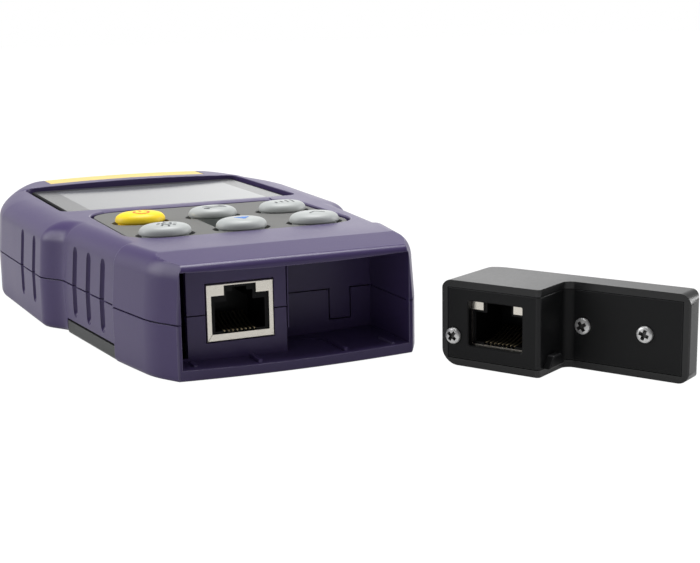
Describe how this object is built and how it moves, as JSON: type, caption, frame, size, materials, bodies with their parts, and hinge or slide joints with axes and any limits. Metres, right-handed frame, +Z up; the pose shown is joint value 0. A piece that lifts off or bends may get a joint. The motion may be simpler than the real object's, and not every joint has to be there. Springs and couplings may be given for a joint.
{
  "type": "network cable tester",
  "caption": "Handheld network cable tester: violet two-part case with a recessed screen, oval keys and a socket bay at one end, and a stepped black remote end lying beside it.",
  "frame": {"origin": "middle of the main unit's underside, half way along its length", "axes": "+X to the right seen from the bay end, +Y from the bay end to the screen end, +Z up through the deck"},
  "size_m": [0.1193, 0.2061, 0.0298],
  "materials": {
    "case_violet": "satin, fine texture",
    "door_grey": "satin",
    "cap_yellow": "satin",
    "lens": "polished, grey printed border",
    "lcd": "polished",
    "light_guide": "satin",
    "plate_grey": "fine texture",
    "key_yellow": "satin",
    "key_grey": "satin",
    "switch_body": "satin",
    "board_green": "satin",
    "header_black": "satin",
    "socket_metal": "plated",
    "socket_black": "satin",
    "contact_gold": "plated",
    "cell_sleeve": "printed sleeve",
    "spring_steel": "plated",
    "screw_steel": "zinc plated",
    "remote_black": "satin",
    "cover_black": "satin",
    "screw_bright": "bright plated"
  },
  "bodies": {
    "main": {"top_case": "case_violet", "bottom_case": "case_violet", "end_cap": "cap_yellow", "display_lens": "lens", "display_panel": "lcd", "backlight": "light_guide", "keypad_plate": "plate_grey", "key_switches": "switch_body", "main_board": "board_green", "socket_board": "board_green", "board_header": "header_black", "socket_shell": "socket_metal", "socket_insert": "socket_black", "socket_contacts": "contact_gold", "cells": "cell_sleeve", "cell_contacts": "spring_steel", "case_screws": "screw_steel"},
    "battery_door": {"battery_door": "door_grey"},
    "remote": {"remote_case": "remote_black", "remote_cover": "cover_black", "remote_board": "board_green", "remote_socket_shell": "socket_metal", "remote_socket_insert": "socket_black", "remote_socket_contacts": "contact_gold", "remote_screws": "screw_bright"},
    "power_key": {"power_key": "key_yellow"},
    "key_back_mid": {"key_back_mid": "key_grey"},
    "key_back_right": {"key_back_right": "key_grey"},
    "key_front_left": {"key_front_left": "key_grey"},
    "key_front_mid": {"key_front_mid": "key_grey"},
    "key_front_right": {"key_front_right": "key_grey"}
  },
  "joints": [
    {"name": "power_key_press", "type": "slide", "parent": "main", "child": "power_key", "axis": [0, 0, -1], "range_m": [0, 0.0007], "stiffness_N_per_m": 1500},
    {"name": "key_back_mid_press", "type": "slide", "parent": "main", "child": "key_back_mid", "axis": [0, 0, -1], "range_m": [0, 0.0007], "stiffness_N_per_m": 1500},
    {"name": "key_back_right_press", "type": "slide", "parent": "main", "child": "key_back_right", "axis": [0, 0, -1], "range_m": [0, 0.0007], "stiffness_N_per_m": 1500},
    {"name": "key_front_left_press", "type": "slide", "parent": "main", "child": "key_front_left", "axis": [0, 0, -1], "range_m": [0, 0.0007], "stiffness_N_per_m": 1500},
    {"name": "key_front_mid_press", "type": "slide", "parent": "main", "child": "key_front_mid", "axis": [0, 0, -1], "range_m": [0, 0.0007], "stiffness_N_per_m": 1500},
    {"name": "key_front_right_press", "type": "slide", "parent": "main", "child": "key_front_right", "axis": [0, 0, -1], "range_m": [0, 0.0007], "stiffness_N_per_m": 1500},
    {"name": "battery_door_hinge", "type": "hinge", "parent": "main", "child": "battery_door", "pos_m": [0, -0.018, 0], "axis": [1, 0, 0], "range_deg": [0, 60]},
    {"name": "remote_lift", "type": "slide", "parent": "main", "child": "remote", "axis": [0, 0, 1], "range_m": [0, 0.06]}
  ]
}
